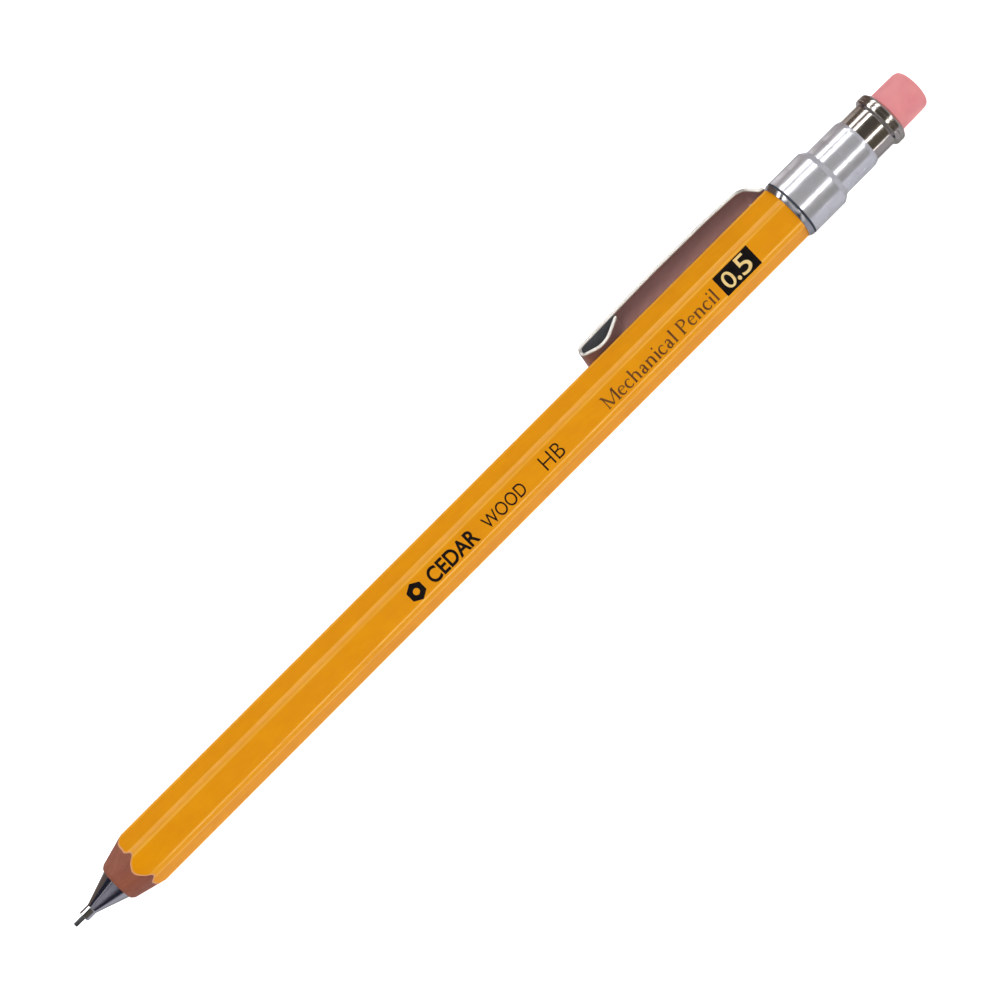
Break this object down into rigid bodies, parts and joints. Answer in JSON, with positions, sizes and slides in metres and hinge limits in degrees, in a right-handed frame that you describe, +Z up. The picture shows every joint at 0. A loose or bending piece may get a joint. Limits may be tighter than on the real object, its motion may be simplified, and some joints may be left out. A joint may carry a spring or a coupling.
{
  "type": "mechanical pencil",
  "caption": "Hexagonal wooden-barrel mechanical pencil with sharpened front, metal tip, spring clip, sliding metal knock and pink eraser.",
  "frame": {"origin": "on the table under the middle of the pencil's box, the pencil lying at rest on its rear sleeve and clip edge", "axes": "+X along the pencil from the lead's point to the eraser, +Z up, clip on the +Y side turned below the axis by the resting roll"},
  "size_m": [0.138, 0.0104, 0.008],
  "materials": {
    "yellow_lacquer": "glossy yellow-orange lacquer",
    "cedar": "bare sharpened cedar",
    "liner_brass": "drawn tube",
    "tip_chrome": "polished nickel chrome",
    "clip_steel": "plated spring steel",
    "satin_aluminium": "satin, turned",
    "cup_nickel": "bright nickel plate",
    "chuck_brass": "turned",
    "spring_steel": "drawn wire",
    "bush_plastic": "moulded",
    "tank_plastic": "extruded",
    "retainer_rubber": "soft",
    "pink_eraser": "matt pink vinyl eraser",
    "graphite": "dull graphite sheen",
    "print_black": "printed ink",
    "print_cream": "printed ink"
  },
  "bodies": {
    "barrel": {"wood_barrel": "cedar", "lacquer_coat": "yellow_lacquer", "inner_sleeve": "liner_brass", "tip_cone": "tip_chrome", "lead_retainer": "retainer_rubber", "spring_seat": "spring_steel", "return_spring": "spring_steel", "clip_ring": "clip_steel", "rear_sleeve": "satin_aluminium"},
    "clip": {"clip_strap": "clip_steel"},
    "knock": {"knock_tube": "satin_aluminium", "lead_tank": "tank_plastic", "tank_coupling": "bush_plastic", "chuck_body": "chuck_brass"},
    "clutch": {"clutch_ring": "chuck_brass"},
    "jaw_1": {"chuck_jaw_1": "chuck_brass"},
    "jaw_2": {"chuck_jaw_2": "chuck_brass"},
    "jaw_3": {"chuck_jaw_3": "chuck_brass"},
    "lead": {"lead": "graphite"},
    "spare_leads": {"spare_leads": "graphite"},
    "eraser_cup": {"eraser_cup": "cup_nickel"},
    "eraser": {"eraser": "pink_eraser"}
  },
  "joints": [
    {"name": "knock_slide", "type": "slide", "parent": "barrel", "child": "knock", "axis": [-1, 0, 0], "range_m": [0, 0.0032], "stiffness_N_per_m": 1500, "springref_m": -0.002, "deforming": ["return_spring"]},
    {"name": "clutch_slide", "type": "slide", "parent": "barrel", "child": "clutch", "axis": [-1, 0, 0], "range_m": [0, 0.0006]},
    {"name": "jaw_1_open", "type": "hinge", "parent": "knock", "child": "jaw_1", "pos_m": [-0.05145, -0.00068, 0.00384], "axis": [0, -0.2647, -0.9643], "range_deg": [0, 1.5]},
    {"name": "jaw_2_open", "type": "hinge", "parent": "knock", "child": "jaw_2", "pos_m": [-0.05145, -0.00135, 0.00452], "axis": [0, 0.9675, 0.2529], "range_deg": [0, 1.5]},
    {"name": "jaw_3_open", "type": "hinge", "parent": "knock", "child": "jaw_3", "pos_m": [-0.05145, -0.0016, 0.0036], "axis": [0, -0.7028, 0.7114], "range_deg": [0, 1.5]},
    {"name": "lead_feed", "type": "slide", "parent": "barrel", "child": "lead", "axis": [-1, 0, 0], "range_m": [-0.00125, 0.04]},
    {"name": "spare_leads_slide", "type": "slide", "parent": "knock", "child": "spare_leads", "axis": [1, 0, 0], "range_m": [0, 0.028]},
    {"name": "cup_pull_off", "type": "slide", "parent": "knock", "child": "eraser_cup", "axis": [1, 0, 0], "range_m": [0, 0.012]},
    {"name": "eraser_pull_out", "type": "slide", "parent": "eraser_cup", "child": "eraser", "axis": [1, 0, 0], "range_m": [0, 0.008]},
    {"name": "clip_flex", "type": "hinge", "parent": "barrel", "child": "clip", "pos_m": [0.0475, 0.00239, 0.003], "axis": [0, -0.2647, -0.9643], "range_deg": [0, 5], "stiffness_Nm_per_rad": 0.8}
  ],
  "couplings": [
    {"joint": "clutch_slide", "follows": "knock_slide", "ratio": 0.1875},
    {"joint": "jaw_1_open", "follows": "knock_slide", "rad_per_m": 8.18},
    {"joint": "jaw_2_open", "follows": "knock_slide", "rad_per_m": 8.18},
    {"joint": "jaw_3_open", "follows": "knock_slide", "rad_per_m": 8.18}
  ]
}
